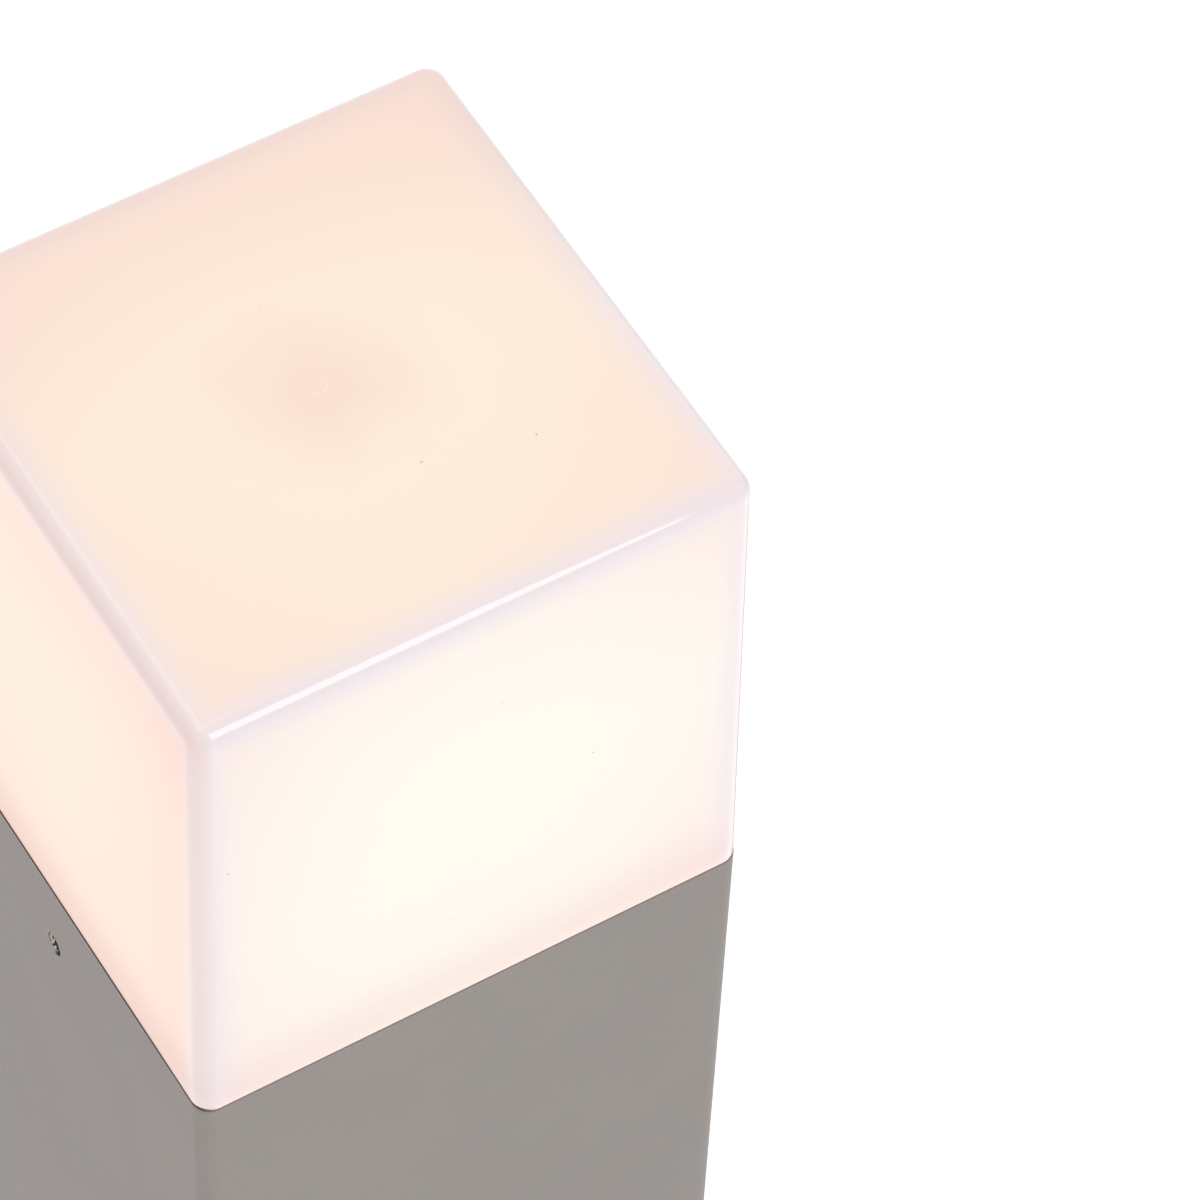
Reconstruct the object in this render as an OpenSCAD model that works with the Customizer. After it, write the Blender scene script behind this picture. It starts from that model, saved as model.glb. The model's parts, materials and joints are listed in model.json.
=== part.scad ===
// Square outdoor post lamp: a lit opal cube that sits flush on a powder-coated aluminium post.
// Millimetres. +Z is up, and the origin is the centre of the square foot, on the ground.
// The shade's clamp screws are on the -X and +X faces.

/* [Overall] */
// Outer width of the square post, and of the shade's foot
post_w = 100; // [90:1:140]
// Height of the lamp above the ground
total_h = 500; // [320:10:1000]

/* [Post] */
// Wall of the extruded post
post_wall = 2; // [1.5:0.1:3]
// Outer radius of the post's four long edges
post_corner_r = 3; // [1.5:0.5:5]

/* [Shade] */
// Height of the shade that shows above the post
shade_h = 100; // [90:1:140]
// Wall of the moulded shade
shade_wall = 3; // [2.5:0.1:4]
// Radius of the shade's upright edges
shade_corner_r = 3.3; // [3.2:0.1:8]
// Radius of the edges round the shade's top
shade_top_r = 3.1; // [3:0.1:7]
// How far each side leans in between the joint and the top, as mould draft
shade_draft = 1.5; // [0.5:0.1:4]
// How far the shade's foot stands back from the post's faces
shade_setback = 0; // [0:0.1:1]
// Depth of the neck that slides into the post
neck_depth = 22; // [20:1:30]
// Gap between the neck and the inside of the post, on each side
neck_gap = 0.4; // [0.3:0.1:0.8]
// Thickness of the seal on the post's rim
seal_t = 0.4; // [0.4:0.1:1.5]
// Width of the mark that the mould's gate leaves on the top
gate_d = 2.4; // [1:0.1:4]

/* [Clamp screws] */
// Depth of the clamp screws' centres below the joint
clamp_drop = 16.5; // [12:0.5:17]
// Thread diameter of a clamp screw
clamp_d = 2.5; // [2:0.5:3]
// Head diameter of a clamp screw
clamp_head_d = 4.2; // [4:0.1:7]
// Depth of the round seats in the post that the heads sit in
clamp_seat = 1; // [0.3:0.1:1]
// Depth of the grooves in the neck that the screws press in
clamp_groove = 1.2; // [0.8:0.1:1.4]

/* [Lampholder and bulb] */
// Largest diameter of the bulb
bulb_d = 60; // [50:1:66]
// Length of the bulb, from its contact to its top
bulb_len = 106; // [100:1:110]
// Depth of the bulb's contact below the joint
bulb_drop = 30; // [27:1:36]
// Diameter over the thread of the bulb's cap
cap_d = 26.3; // [26:0.1:26.4]
// Outer diameter of the lampholder
holder_d = 40; // [38:1:46]
// Thickness of the bridge's sheet
bridge_t = 1.5; // [1.2:0.1:2.5]
// Width of the bridge that carries the lampholder
bridge_w = 44; // [42:1:60]

/* [Foot] */
// Thickness of the ground bracket's sheet
bracket_t = 2.5; // [2:0.1:3]
// Gap between the bracket and the inside of the post, on each side
bracket_gap = 0.5; // [0.3:0.1:1]
// Distance between the ground fixing holes, both ways
fixing_pitch = 60; // [56:1:66]
// Diameter of a ground fixing hole
fixing_d = 5.5; // [4.5:0.5:6.5]
// Height of the foot screws above the ground
foot_screw_z = 18; // [14:1:22]
// Thread diameter of a foot screw
foot_d = 4; // [3:0.5:5]
// Bore of the cable grommet
cable_d = 9; // [6:0.5:11]

/* [Hidden] */
$fn = 48;

// Radial gap of a screw in its tapped hole, and of other close fits
fit_gap = 0.05;
seat_gap = 0.1;
// Extra length of a tool that cuts right through
over = 1;

// Post
post_in = post_w - 2 * post_wall;
post_in_r = max(0.5, post_corner_r - post_wall);
joint_z = total_h - shade_h;
post_top = joint_z - seal_t;

// Shade
foot_half = post_w / 2 - shade_setback;
top_half = foot_half - shade_draft;
neck_w = post_in - 2 * neck_gap;
neck_r = max(1, post_in_r - neck_gap);
neck_in_r = 1;
top_edge_r = min(shade_top_r, shade_corner_r - 0.2);
hollow_edge_r = max(0.6, top_edge_r - shade_wall);
hollow_corner_r = max(hollow_edge_r + 0.4, shade_corner_r - shade_wall + 0.5);
groove_w = clamp_d + 1.5;
gate_h = 0.3;

// Clamp screws
clamp_z = joint_z - clamp_drop;
clamp_head_h = 0.28 * clamp_head_d;
clamp_seat_r = clamp_head_d / 2 + 0.2;
clamp_reach = post_wall - clamp_seat + neck_gap + clamp_groove - fit_gap;

// Bulb
tip_z = joint_z - bulb_drop;
cap_top = tip_z + 27;
cap_foot = tip_z + 5;
cap_wall = 0.4;
thread_pitch = 3.63;
thread_depth = 1;
thread_turns = 4;
dome_r = bulb_d / 2;
dome_z = tip_z + bulb_len - dome_r;
dome_wall = 1.5;
rim_z = dome_z - 0.53 * dome_r;
rim_r = sqrt(pow(dome_r, 2) - pow(dome_z - rim_z, 2));
tip_r = 4.7;
tip_h = 1.6;

// Lampholder, from the bridge up
base_h = 14;
spigot_h = 5;
bridge_z = tip_z - base_h - 2.5;
liner_in_r = cap_d / 2 + seat_gap;
liner_t = 0.6;
liner_h = 23.5;
shell_in_r = 16.6;
shell_top = cap_top - 1;
base_top = bridge_z + base_h;
leaf_w = 8;
leaf_t = 0.5;
leaf_tail = 4;
leaf_root_x = 9;
leaf_root_r = 0.8;
leaf_root_z = base_top - 1.8;
leaf_pad_r = 2.5;
wire_d = 2.2;
holder_pole_x = 6.5;
holder_pole_z = bridge_z + 4.7;
holder_pole_h = 7;
holder_well_h = 8.2;
holder_screw_y = 14;
holder_screw_d = 3;
holder_screw_len = 9;
bridge_flange = 14;

// Foot
bracket_w = post_in - 2 * bracket_gap;
flange_w = 44;
foot_nut_w = 1.75 * foot_d;
flange_h = foot_screw_z + 12;
flange_x = bracket_w / 2 - bracket_t;
boss_rise = 3;
boss_top_r = 15.5;
boss_foot_r = 19;
grommet_seat_r = cable_d / 2 + 4.5;
grommet_flange_r = grommet_seat_r + 2.5;
grommet_lip = 1.8;
foot_nut_h = 0.8 * foot_d;
foot_head_d = 2 * foot_d;
foot_head_h = 0.6 * foot_d;
foot_reach = post_wall + bracket_gap + bracket_t + foot_nut_h + 1;

// Terminal block on the bracket
poles = 3;
pole_pitch = 10;
block_l = poles * pole_pitch + 2;
block_d = 15;
block_h = 14;
block_y = 28;
pole_z = bracket_t + 6;
pole_tube_r = 2.5;
pole_bore_r = 1.4;
pole_screw_r = 1.25;
pole_screw_y = 4;
block_screw_d = 2.5;
block_seat_h = 8;
function pole_x(i) = (i - (poles - 1) / 2) * pole_pitch;

// Earth point on the bracket
earth_y = -32;
earth_d = 4;
lug_t = 0.8;
lug_r = 4;
lug_barrel_r = 1.9;
lug_barrel_x = 5;
lug_barrel_len = 7;
washer_t = 0.8;
washer_r = 4.2;
earth_stack = bracket_t + lug_t + washer_t;

// Run of the lamp's wires up the back wall of the post
clip_count = 3;
clip_l = 10;
clip_w = 13;
clip_floor = 1.4;
wire_side = 1.6;
wall_y = post_in / 2 - clip_floor - wire_d / 2 - 0.4;
wall_low = pole_z + 45;
wall_high = bridge_z - bridge_t - 55;

// Square with round corners
module round_square(w, r) {
    square([w, w - 2 * r], center = true);
    square([w - 2 * r, w], center = true);
    for (x = [-1, 1], y = [-1, 1]) translate([x * (w / 2 - r), y * (w / 2 - r)]) circle(r);
}

// Copies what it holds to the -X and +X sides, each turned to point outwards along X
module both_sides(x) {
    for (a = [0, 180]) rotate([0, 0, a]) translate([x, 0, 0]) children();
}

// Cross recess, cut down from z = 0
module cross_recess(size, depth) {
    arm = size / 3.6;
    for (a = [0, 90]) rotate([0, 0, a])
        translate([-size / 2, -arm / 2, -depth]) cube([size, arm, depth + over]);
}

// Pan-head screw. The head stands on z = 0 and the shank points down.
module pan_screw(d, len, head_d, head_h) {
    dome = 0.68 * head_d;
    difference() {
        union() {
            intersection() {
                cylinder(d = head_d, h = head_h);
                translate([0, 0, head_h - dome]) sphere(dome);
            }
            translate([0, 0, -len]) cylinder(d = d, h = len + head_h / 4);
        }
        translate([0, 0, head_h]) cross_recess(0.62 * head_d, 0.55 * head_h);
    }
}

// Slotted grub screw that points down from z = 0
module slot_screw(d, len) {
    difference() {
        translate([0, 0, -len]) cylinder(d = d, h = len);
        translate([-d, -d / 10, -d / 4]) cube([2 * d, d / 5, d]);
    }
}

// Points of a smooth curve through the points p, with n steps from each point to the next
function curve_point(a, b, c, d, t) =
    0.5 * (2 * b + (c - a) * t + (2 * a - 5 * b + 4 * c - d) * t * t
        + (3 * b - a - 3 * c + d) * t * t * t);
function curve(p, n) = let (last = len(p) - 1) [
    for (i = [0 : last - 1], s = [0 : n - 1])
        curve_point(p[max(0, i - 1)], p[i], p[i + 1], p[min(last, i + 2)], s / n),
    p[last]];
function unit(v) = v / norm(v);

// Round tube of diameter d along the points p. The vector side is never parallel to the route.
module tube_along(p, d, side, sides = 8) {
    last = len(p) - 1;
    rings = [for (i = [0 : last]) let (
        ahead = unit(p[min(last, i + 1)] - p[max(0, i - 1)]),
        u = unit(cross(ahead, side)),
        v = cross(ahead, u))
        for (k = [0 : sides - 1]) p[i] + d / 2 * (cos(360 * k / sides) * u + sin(360 * k / sides) * v)];
    walls = [for (i = [0 : last - 1], k = [0 : sides - 1]) let (
        a = i * sides + k, b = i * sides + (k + 1) % sides)
        each [[a, a + sides, b + sides], [a, b + sides, b]]];
    start = [for (k = [0 : sides - 1]) k];
    end = [for (k = [sides - 1 : -1 : 0]) last * sides + k];
    polyhedron(rings, concat(walls, [start, end]), convexity = 8);
}

// The post, open at both ends, with its screw holes
module post_tube() {
    color([0.46, 0.45, 0.43]) difference() {
        linear_extrude(post_top) round_square(post_w, post_corner_r);
        translate([0, 0, -over]) linear_extrude(post_top + 2 * over) round_square(post_in, post_in_r);
        both_sides(post_in / 2 - over) translate([0, 0, clamp_z]) rotate([0, 90, 0])
            cylinder(r = clamp_d / 2 + fit_gap, h = post_wall + 2 * over);
        both_sides(post_w / 2 - clamp_seat) translate([0, 0, clamp_z]) rotate([0, 90, 0])
            cylinder(r = clamp_seat_r, h = clamp_seat + over);
        both_sides(post_in / 2 - over) translate([0, 0, foot_screw_z]) rotate([0, 90, 0])
            cylinder(r = foot_d / 2 + 0.25, h = post_wall + 2 * over);
    }
}

// Seal that lies on the post's rim, under the shade
module rim_seal() {
    inset = 0.1;
    color([0.1, 0.09, 0.09]) translate([0, 0, post_top]) difference() {
        linear_extrude(seal_t) round_square(post_w - 2 * inset, shade_corner_r);
        translate([0, 0, -over]) linear_extrude(seal_t + 2 * over)
            round_square(post_in + 0.1, post_in_r + 0.05);
    }
}

// Round-edged block that leans in to its top: the outside of the shade, or its hollow
module leaning_block(z, half, top, top_half, corner, edge) {
    hull() for (x = [-1, 1], y = [-1, 1]) {
        translate([x * (half - corner), y * (half - corner), z]) cylinder(r = corner, h = 0.1, $fn = 32);
        translate([x * (top_half - corner), y * (top_half - corner), top - edge])
            rotate_extrude($fn = 32) translate([corner - edge, 0]) intersection() {
                circle(edge, $fn = 32);
                square(edge);
            }
    }
}

// The opal shade: a leaning cube with a square neck below it
module shade() {
    neck_in = neck_w - 2 * shade_wall;
    color([1, 0.93, 0.86]) difference() {
        union() {
            leaning_block(joint_z, foot_half, total_h - gate_h, top_half, shade_corner_r, top_edge_r);
            translate([0, 0, joint_z - neck_depth]) linear_extrude(neck_depth + shade_wall / 2)
                round_square(neck_w, neck_r);
            translate([0, 0, total_h - 2 * gate_h]) cylinder(d = gate_d, h = 2 * gate_h);
        }
        leaning_block(joint_z + shade_wall, foot_half - shade_wall, total_h - gate_h - shade_wall,
            top_half - shade_wall, hollow_corner_r, hollow_edge_r);
        translate([0, 0, joint_z - neck_depth - over]) linear_extrude(neck_depth + shade_wall + 2 * over)
            round_square(neck_in, neck_in_r);
        both_sides(neck_w / 2 - clamp_groove) translate([0, -groove_w / 2, joint_z - neck_depth - over])
            cube([clamp_groove + over, groove_w, neck_depth - clamp_drop + groove_w / 2 + over]);
    }
}

// Screw in the post's wall that presses on the neck, on the +X side
module clamp_screw() {
    color([0.75, 0.74, 0.72]) translate([post_w / 2 - clamp_seat, 0, clamp_z]) rotate([0, 90, 0])
        pan_screw(clamp_d, clamp_reach, clamp_head_d, clamp_head_h);
}
module clamp_screw_left() { rotate([0, 0, 180]) clamp_screw(); }
module clamp_screw_right() { clamp_screw(); }

// Bent strip, welded across the post, that carries the lampholder
module lampholder_bridge() {
    color([0.72, 0.73, 0.74]) difference() {
        union() {
            translate([-bridge_w / 2, -post_in / 2, bridge_z - bridge_t])
                cube([bridge_w, post_in, bridge_t]);
            for (a = [0, 180]) rotate([0, 0, a])
                translate([-bridge_w / 2, post_in / 2 - bridge_t, bridge_z - bridge_flange])
                    cube([bridge_w, bridge_t, bridge_flange - bridge_t / 2]);
        }
        translate([0, 0, bridge_z - bridge_t - over]) cylinder(r = 10, h = bridge_t + 2 * over);
        for (y = [-1, 1]) translate([0, y * holder_screw_y, bridge_z - bridge_t - over])
            cylinder(r = holder_screw_d / 2 + seat_gap, h = bridge_t + 2 * over);
    }
}

// Insulating base: wells for the terminals below, and a pocket for the leaf contact on top
module lampholder_base() {
    pocket_w = leaf_w + 0.6;
    color([0.93, 0.92, 0.88]) difference() {
        union() {
            translate([0, 0, bridge_z]) cylinder(d = holder_d, h = base_h - spigot_h);
            translate([0, 0, bridge_z]) cylinder(r = shell_in_r - seat_gap, h = base_h);
        }
        for (x = [-1, 1]) translate([x * holder_pole_x, 0, bridge_z]) {
            translate([-3.2, -3.6, -over]) cube([6.4, 7.2, holder_well_h + over]);
            translate([0, -3, holder_pole_z - bridge_z]) rotate([90, 0, 0])
                cylinder(r = 1.6, h = holder_d / 2);
        }
        for (y = [-1, 1]) translate([0, y * holder_screw_y, bridge_z - over])
            cylinder(r = holder_screw_d / 2 + fit_gap, h = holder_screw_len + over);
        translate([-leaf_tail - 1, -pocket_w / 2, base_top - 3])
            cube([leaf_root_x + leaf_tail, pocket_w, 3 + over]);
        translate([leaf_root_x - 1.5, -pocket_w / 2, leaf_root_z - leaf_t / 2 - 0.2])
            cube([1.5, pocket_w, 3 + over]);
        translate([leaf_root_x - 1, -pocket_w / 2, leaf_root_z])
            cube([1 + leaf_root_r + fit_gap, pocket_w, 3 + over]);
        translate([leaf_root_x, pocket_w / 2, leaf_root_z]) rotate([90, 0, 0])
            cylinder(r = leaf_root_r + fit_gap, h = pocket_w);
    }
}

// Outer sleeve that stands on the base's shoulder
module lampholder_shell() {
    foot = bridge_z + base_h - spigot_h;
    color([0.94, 0.93, 0.9]) difference() {
        translate([0, 0, foot]) cylinder(d = holder_d, h = shell_top - foot);
        translate([0, 0, foot - over]) cylinder(r = shell_in_r, h = shell_top - foot + 2 * over);
    }
}

// Metal cup that takes the bulb's cap, with a hole in its floor for the leaf's pad
module lampholder_liner() {
    color([0.8, 0.78, 0.7]) translate([0, 0, base_top]) difference() {
        union() {
            cylinder(r = liner_in_r + liner_t, h = liner_h);
            cylinder(r = shell_in_r - 1, h = liner_t);
            translate([0, 0, liner_h - liner_t]) cylinder(r = shell_in_r - seat_gap, h = liner_t);
        }
        translate([0, 0, liner_t]) cylinder(r = liner_in_r, h = liner_h);
        translate([0, 0, -over]) cylinder(r = 2 * leaf_pad_r, h = liner_t + 2 * over);
    }
}

// Two brass blocks that clamp the wires in the base
module lampholder_terminals() {
    foot = bridge_z + holder_well_h - holder_pole_h;
    color([0.83, 0.69, 0.36]) for (x = [-1, 1]) translate([x * holder_pole_x, 0, 0]) difference() {
        translate([-2.8, -3, foot]) cube([5.6, 6, holder_pole_h]);
        translate([0, 0, foot - over]) cylinder(r = pole_bore_r, h = holder_pole_h - 1 + over);
        translate([0, 0, holder_pole_z]) rotate([90, 0, 0])
            cylinder(r = pole_screw_r + fit_gap, h = 3 + over);
    }
}

module lampholder_terminal_screws() {
    color([0.75, 0.74, 0.72]) for (x = [-1, 1])
        translate([x * holder_pole_x, -6.2, holder_pole_z]) rotate([90, 0, 0])
            slot_screw(2 * pole_screw_r, 6.2 - wire_d / 2 - fit_gap);
}

module lampholder_screws() {
    color([0.75, 0.74, 0.72]) for (y = [-1, 1])
        translate([0, y * holder_screw_y, bridge_z - bridge_t]) rotate([180, 0, 0])
            pan_screw(holder_screw_d, holder_screw_len - 0.5 + bridge_t, 5.6, 2);
}

// Sprung leaf under the bulb's contact. Its rolled root turns in the base.
module centre_contact() {
    color([0.85, 0.66, 0.3]) {
        translate([leaf_root_x, leaf_w / 2, leaf_root_z]) rotate([90, 0, 0])
            cylinder(r = leaf_root_r, h = leaf_w);
        translate([-leaf_tail, -leaf_w / 2, leaf_root_z - leaf_t / 2])
            cube([leaf_root_x + leaf_tail, leaf_w, leaf_t]);
        translate([0, 0, leaf_root_z]) cylinder(r = leaf_pad_r, h = tip_z - leaf_root_z);
    }
}

// Contact on the bulb's end
module bulb_tip() {
    color([0.78, 0.77, 0.74]) translate([0, 0, tip_z]) cylinder(r = tip_r, h = tip_h);
}

// Black glass between the contact and the screw cap
module bulb_insulator() {
    color([0.08, 0.08, 0.09]) difference() {
        translate([0, 0, tip_z + tip_h / 2])
            cylinder(r1 = tip_r + 2, r2 = cap_d / 2 - thread_depth - cap_wall, h = cap_foot - tip_z);
        translate([0, 0, tip_z]) cylinder(r = tip_r, h = tip_h);
    }
}

// Screw cap, with the thread as round ridges one pitch apart
module bulb_cap() {
    core_r = cap_d / 2 - thread_depth;
    color([0.8, 0.8, 0.79]) difference() {
        union() {
            translate([0, 0, cap_foot]) cylinder(r = core_r, h = cap_top - cap_foot);
            for (i = [0 : thread_turns - 1]) translate([0, 0, cap_foot + (i + 1) * thread_pitch])
                rotate_extrude() translate([core_r - 0.2, 0]) circle(thread_depth + 0.2, $fn = 24);
        }
        translate([0, 0, cap_foot - over])
            cylinder(r = core_r - cap_wall, h = cap_top - cap_foot + 2 * over);
    }
}

// Heat sink of the bulb, from the cap to the dome
module bulb_housing() {
    foot_r = cap_d / 2 - thread_depth - cap_wall;
    lip = 3;
    ledge = 2;
    color([0.95, 0.95, 0.94]) difference() {
        union() {
            translate([0, 0, cap_top - lip]) cylinder(r = foot_r, h = lip);
            translate([0, 0, cap_top]) cylinder(r1 = foot_r + 1.4, r2 = rim_r, h = rim_z - cap_top);
        }
        translate([0, 0, cap_top - lip - over]) cylinder(r = foot_r - 1.5, h = lip + 2 * over);
        translate([0, 0, cap_top + 1])
            cylinder(r1 = foot_r - 1.5, r2 = rim_r - 1.5 - ledge, h = rim_z - cap_top - ledge);
        translate([0, 0, rim_z - ledge]) cylinder(r = rim_r - 1.5, h = ledge + over);
    }
}

// Opal dome of the bulb
module bulb_dome() {
    color([1, 0.97, 0.9]) difference() {
        translate([0, 0, dome_z]) sphere(dome_r);
        translate([0, 0, dome_z]) sphere(dome_r - dome_wall);
        translate([-bulb_d, -bulb_d, rim_z - 2 * bulb_d]) cube(2 * bulb_d);
    }
}

// Round board that carries the light sources
module bulb_led_board() {
    color([0.9, 0.92, 0.93]) translate([0, 0, rim_z - 2]) cylinder(r = rim_r - 1.5 - seat_gap, h = 1.6);
}

module bulb_leds() {
    chips = 12;
    chip = 3;
    color([1, 0.85, 0.4]) for (i = [0 : chips - 1]) rotate([0, 0, 360 * i / chips])
        translate([0.68 * rim_r - chip / 2, -chip / 2, rim_z - 0.4]) cube([chip, chip, 0.7]);
}

// Upright driver board that hangs from the light board
module bulb_driver() {
    top = rim_z - 2;
    foot = cap_foot + 3;
    color([0.16, 0.42, 0.24]) {
        translate([-8, -0.8, foot]) cube([16, 1.6, top - foot]);
        translate([-3, 0.8, foot + 8]) cube([9, 6, 10]);
        translate([0, -5.2, foot + 14]) cylinder(d = 6, h = 12);
        translate([-3, -5, foot + 14]) cube([6, 5, 1]);
    }
}

// Route of a lamp wire: out of pole i, up the back wall at x = side, in to the pole at x = to
function wire_route(i, side, to) = let (
    x = pole_x(i), mouth = block_y + block_d / 2, under = bridge_z - bridge_t)
    [[x, mouth - 6.5, pole_z], [x, mouth, pole_z], [x, mouth + 3.5, pole_z + 0.8],
    [x, wall_y - 1.2, pole_z + 5], [x, wall_y, pole_z + 14],
    [side + (x - side) * 0.3, wall_y, pole_z + 30], [side, wall_y, wall_low - 5],
    [side, wall_y, (wall_low + wall_high) / 2], [side, wall_y, wall_high + 5],
    [side, wall_y - 2, wall_high + 14], [side + (to - side) * 0.3, wall_y - 14, under - 30],
    [side + (to - side) * 0.7, 14, under - 22], [to, 4, under - 15], [to, 0, under - 6],
    [to, 0, holder_pole_z - 2], [to, 0, holder_pole_z + 1.6]];

module wire_live() {
    color([0.42, 0.24, 0.13])
        tube_along(curve(wire_route(0, -wire_side, -holder_pole_x), 4), wire_d, [1, 0, 0]);
}
module wire_neutral() {
    color([0.12, 0.3, 0.62])
        tube_along(curve(wire_route(1, wire_side, holder_pole_x), 4), wire_d, [1, 0, 0]);
}

// Lead from the third pole, round the side of the bracket, to the earth lug
module wire_earth() {
    x = pole_x(2);
    mouth = block_y + block_d / 2;
    edge = flange_x - 5;
    lug_end = lug_barrel_x + lug_barrel_len;
    lug_z = bracket_t + lug_barrel_r;
    route = [[x, mouth - 6.5, pole_z], [x, mouth, pole_z], [x + 0.6, mouth + 3.5, pole_z],
        [x + 5, edge + 1.5, pole_z], [x + 14, edge + 2.5, pole_z - 1], [edge - 6, edge + 1.5, pole_z - 1],
        [edge - 0.5, edge - 5, pole_z - 1], [edge, edge - 14, pole_z - 1], [edge, 8, pole_z - 1.5],
        [edge - 0.5, -6, pole_z - 2], [edge - 5, -16, pole_z - 2], [edge - 14, -23, pole_z - 2.5],
        [lug_end + 7, -29.5, lug_z + 0.4], [lug_end + 2, earth_y, lug_z], [lug_end - 1, earth_y, lug_z],
        [lug_barrel_x + 1, earth_y, lug_z]];
    color([0.45, 0.62, 0.18]) tube_along(curve(route, 4), wire_d, [0, 0, 1]);
}

// Stick-on saddles that hold the wires to the back wall
module wire_clips() {
    slot_l = 2 * wire_side + wire_d + 0.7;
    slot_h = wire_d + 0.8;
    color([0.93, 0.93, 0.92]) for (i = [0 : clip_count - 1])
        translate([0, 0, wall_low + i * (wall_high - wall_low) / (clip_count - 1) - clip_l / 2])
            difference() {
                union() {
                    translate([-clip_w / 2, post_in / 2 - clip_floor, 0])
                        cube([clip_w, clip_floor, clip_l]);
                    translate([-slot_l / 2 - 1.2, wall_y - slot_h / 2 - 1.2, 1.5])
                        cube([slot_l + 2.4, post_in / 2 - wall_y + slot_h / 2 + 0.6, clip_l - 3]);
                }
                translate([-slot_l / 2, wall_y - slot_h / 2, -over])
                    cube([slot_l, slot_h, clip_l + 2 * over]);
            }
}

// Bracket that is screwed to the ground and holds the post
module ground_bracket() {
    color([0.7, 0.71, 0.72]) difference() {
        union() {
            linear_extrude(bracket_t) round_square(bracket_w, 3);
            both_sides(flange_x) translate([0, -flange_w / 2, 0]) cube([bracket_t, flange_w, flange_h]);
            cylinder(r1 = boss_foot_r + bracket_t / 2, r2 = boss_top_r, h = boss_rise + bracket_t);
        }
        translate([0, 0, -over]) cylinder(r = boss_foot_r - 1.5, h = over + 0.01);
        cylinder(r1 = boss_foot_r - 1.5, r2 = boss_top_r - 1, h = boss_rise);
        cylinder(r = grommet_seat_r, h = 3 * boss_rise);
        for (x = [-1, 1], y = [-1, 1]) translate([x * fixing_pitch / 2, y * fixing_pitch / 2, -over])
            cylinder(d = fixing_d, h = bracket_t + 2 * over);
        both_sides(flange_x - over) translate([0, 0, foot_screw_z]) rotate([0, 90, 0])
            cylinder(r = foot_d / 2 + fit_gap, h = bracket_t + 2 * over);
        for (x = [-1, 1]) translate([x * pole_pitch / 2, block_y, -over])
            cylinder(r = block_screw_d / 2 + fit_gap, h = bracket_t + 2 * over);
        translate([0, earth_y, -over]) cylinder(r = earth_d / 2 + fit_gap, h = bracket_t + 2 * over);
    }
}

// Welded hexagon nuts for the foot screws
module bracket_nuts() {
    color([0.7, 0.71, 0.72]) both_sides(flange_x - foot_nut_h) translate([0, 0, foot_screw_z])
        rotate([0, 90, 0]) difference() {
            cylinder(d = foot_nut_w / cos(30), h = foot_nut_h, $fn = 6);
            translate([0, 0, -over]) cylinder(r = foot_d / 2 + fit_gap, h = foot_nut_h + 2 * over);
        }
}

module foot_screws() {
    color([0.75, 0.74, 0.72]) both_sides(post_w / 2) translate([0, 0, foot_screw_z]) rotate([0, 90, 0])
        pan_screw(foot_d, foot_reach, foot_head_d, foot_head_h);
}

// Rubber grommet in the bracket's raised centre
module cable_grommet() {
    low = boss_rise - grommet_lip;
    high = boss_rise + bracket_t + grommet_lip;
    color([0.07, 0.07, 0.07]) difference() {
        union() {
            translate([0, 0, low]) cylinder(r = grommet_seat_r + 1, h = grommet_lip);
            translate([0, 0, low]) cylinder(r = grommet_seat_r - fit_gap, h = high - low);
            translate([0, 0, high - grommet_lip]) cylinder(r = grommet_flange_r, h = grommet_lip);
        }
        translate([0, 0, -over]) cylinder(d = cable_d, h = high + 2 * over);
    }
}

// Insulating body of the three-pole block
module terminal_block() {
    color([0.9, 0.9, 0.87]) difference() {
        translate([-block_l / 2, block_y - block_d / 2, bracket_t]) cube([block_l, block_d, block_h]);
        for (i = [0 : poles - 1]) translate([pole_x(i), block_y, pole_z]) {
            rotate([90, 0, 0])
                cylinder(r = pole_tube_r + seat_gap, h = block_d + 2 * over, center = true);
            for (y = [-1, 1]) translate([0, y * pole_screw_y, 0]) cylinder(r = 2, h = block_h);
        }
        for (x = [-1, 1]) translate([x * pole_pitch / 2, block_y, bracket_t]) {
            translate([0, 0, -over]) cylinder(r = block_screw_d / 2 + seat_gap, h = block_h + over);
            translate([0, 0, block_seat_h]) cylinder(r = 2.4, h = block_h);
        }
        for (x = [-1, 1], y = [-1, 1])
            translate([x * pole_pitch / 2 - 0.5, block_y + y * block_d / 2 - 1.5, bracket_t + block_h / 2])
                cube([1, 3, block_h]);
    }
}

module terminal_tubes() {
    len = block_d - 2;
    color([0.83, 0.69, 0.36]) for (i = [0 : poles - 1]) translate([pole_x(i), block_y, pole_z])
        difference() {
            union() {
                rotate([90, 0, 0]) cylinder(r = pole_tube_r, h = len, center = true);
                for (y = [-1, 1]) translate([0, y * pole_screw_y, 0])
                    cylinder(r = 1.9, h = pole_tube_r + 1);
            }
            rotate([90, 0, 0]) cylinder(r = pole_bore_r, h = len + 2 * over, center = true);
            for (y = [-1, 1]) translate([0, y * pole_screw_y, 0])
                cylinder(r = pole_screw_r + fit_gap, h = pole_tube_r + 2 * over);
        }
}

module terminal_screws() {
    color([0.75, 0.74, 0.72]) for (i = [0 : poles - 1], y = [-1, 1])
        translate([pole_x(i), block_y + y * pole_screw_y, pole_z + pole_tube_r + 2.6])
            slot_screw(2 * pole_screw_r, pole_tube_r + 2.6 - wire_d / 2 - fit_gap);
}

module block_screws() {
    color([0.75, 0.74, 0.72]) for (x = [-1, 1])
        translate([x * pole_pitch / 2, block_y, bracket_t + block_seat_h])
            pan_screw(block_screw_d, block_seat_h + bracket_t - 0.5, 4.5, 1.7);
}

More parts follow.
